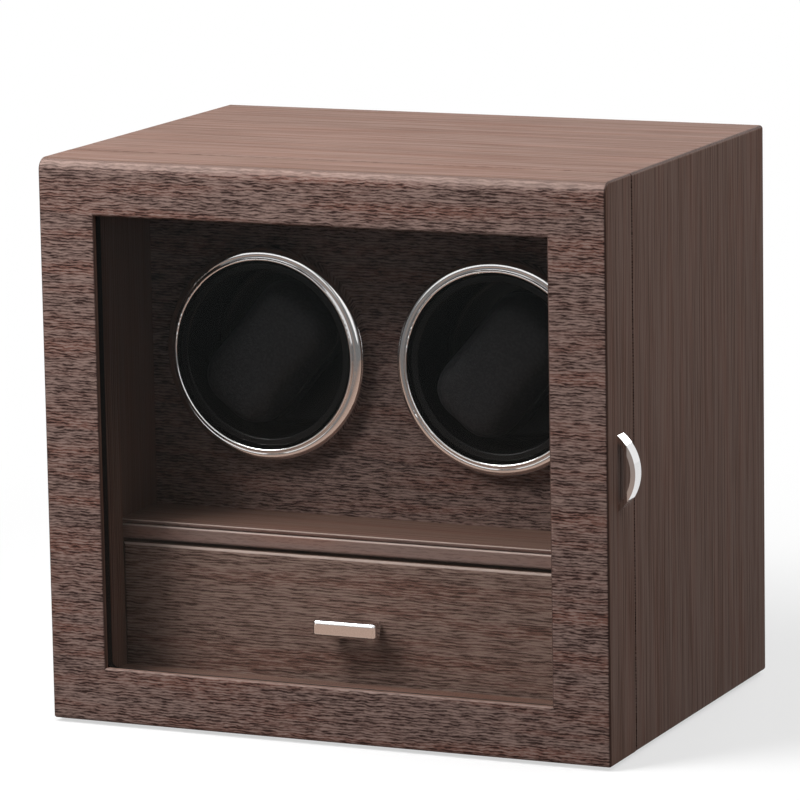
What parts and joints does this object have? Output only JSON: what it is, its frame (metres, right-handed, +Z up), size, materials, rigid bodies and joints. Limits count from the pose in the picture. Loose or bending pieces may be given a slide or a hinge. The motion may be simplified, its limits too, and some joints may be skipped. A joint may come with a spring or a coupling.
{
  "type": "watch winder box",
  "caption": "Walnut-look watch winder box: a framed glass door over geared rotor cups with watch cushions, above a drawer with a bar pull.",
  "frame": {"origin": "middle of the underside, on the felt that the box rests on", "axes": "+X to the right of a person facing the door, -Y out through the door, +Z up"},
  "size_m": [0.2565, 0.176, 0.2315],
  "materials": {
    "walnut_film": "embossed wood-grain film with a satin sheen",
    "inner_film": "smooth wood-grain film",
    "bare_board": "bare fibreboard",
    "pane": "clear polished glass",
    "chrome": "mirror-bright plating",
    "steel": "zinc-plated",
    "brass": "plain turned",
    "magnet": "nickel-plated",
    "black_gloss": "glossy black moulding",
    "black_matte": "matte black",
    "white_nylon": "natural nylon",
    "green_board": "green solder mask",
    "felt": "short black felt",
    "black_leather": "soft black leatherette",
    "wire": "insulated lead"
  },
  "bodies": {
    "case": {"carcass_top": "walnut_film", "carcass_bottom": "walnut_film", "carcass_left": "walnut_film", "carcass_right": "walnut_film", "base_felt": "felt", "back_panel": "black_matte", "back_panel_screws": "steel", "rear_battens": "bare_board", "liner_left": "inner_film", "liner_right": "inner_film", "divider_shelf": "inner_film", "compartment_floor": "inner_film", "rotor_panel": "walnut_film", "bezel_left": "chrome", "bezel_right": "chrome", "motor_plate": "black_matte", "rotor_bushes": "brass", "motor_left": "steel", "motor_right": "steel", "motor_screws": "steel", "motor_lead_left": "wire", "motor_lead_right": "wire", "control_board": "green_board", "board_standoffs": "white_nylon", "dc_inlet": "black_matte", "switch_body": "black_matte", "hinge_case_leaves": "brass", "hinge_pins": "steel", "hinge_case_screws": "brass", "case_magnets": "magnet", "drawer_glides": "white_nylon"},
    "door": {"door_frame": "walnut_film", "door_glass": "pane", "glass_retainer": "black_matte", "door_pull": "chrome", "hinge_door_leaves": "brass", "hinge_door_screws": "brass", "door_magnets": "magnet"},
    "drawer": {"drawer_front": "walnut_film", "drawer_side_left": "bare_board", "drawer_side_right": "bare_board", "drawer_back": "bare_board", "drawer_bottom": "bare_board", "drawer_lining": "felt", "drawer_pull": "chrome", "drawer_pull_screws": "steel"},
    "rocker": {"switch_rocker": "black_gloss"},
    "rotor_left": {"rotor_cup_left": "black_gloss", "rotor_gear_left": "white_nylon", "rotor_shaft_left": "steel", "shaft_clip_left": "steel"},
    "motor_shaft_left": {"pinion_left": "brass"},
    "watch_cushion_left": {"cushion_left": "black_leather"},
    "rotor_right": {"rotor_cup_right": "black_gloss", "rotor_gear_right": "white_nylon", "rotor_shaft_right": "steel", "shaft_clip_right": "steel"},
    "motor_shaft_right": {"pinion_right": "brass"},
    "watch_cushion_right": {"cushion_right": "black_leather"}
  },
  "joints": [
    {"name": "door_hinge", "type": "hinge", "parent": "case", "child": "door", "pos_m": [-0.1248, -0.0605, 0.1165], "axis": [0, 0, -1], "range_deg": [0, 160]},
    {"name": "drawer_slide", "type": "slide", "parent": "case", "child": "drawer", "axis": [0, -1, 0], "range_m": [0, 0.0785]},
    {"name": "switch_tip", "type": "hinge", "parent": "case", "child": "rocker", "pos_m": [0.07, 0.0826, 0.126], "axis": [-1, 0, 0], "range_deg": [0, 18]},
    {"name": "rotor_spin_left", "type": "hinge", "parent": "case", "child": "rotor_left", "pos_m": [-0.0514, 0, 0.1457], "axis": [0, -1, 0], "continuous": true},
    {"name": "pinion_spin_left", "type": "hinge", "parent": "case", "child": "motor_shaft_left", "pos_m": [-0.0304, 0, 0.18207], "axis": [0, -1, 0], "continuous": true},
    {"name": "cushion_pull_left", "type": "slide", "parent": "rotor_left", "child": "watch_cushion_left", "axis": [0, -1, 0], "range_m": [0, 0.037]},
    {"name": "rotor_spin_right", "type": "hinge", "parent": "case", "child": "rotor_right", "pos_m": [0.0514, 0, 0.1457], "axis": [0, -1, 0], "continuous": true},
    {"name": "pinion_spin_right", "type": "hinge", "parent": "case", "child": "motor_shaft_right", "pos_m": [0.0304, 0, 0.18207], "axis": [0, -1, 0], "continuous": true},
    {"name": "cushion_pull_right", "type": "slide", "parent": "rotor_right", "child": "watch_cushion_right", "axis": [0, -1, 0], "range_m": [0, 0.037]}
  ],
  "couplings": [
    {"joint": "drawer_slide", "follows": "door_hinge", "m_per_rad": 0.028},
    {"joint": "pinion_spin_left", "follows": "rotor_spin_left", "ratio": -2.5},
    {"joint": "pinion_spin_right", "follows": "rotor_spin_right", "ratio": -2.5}
  ]
}
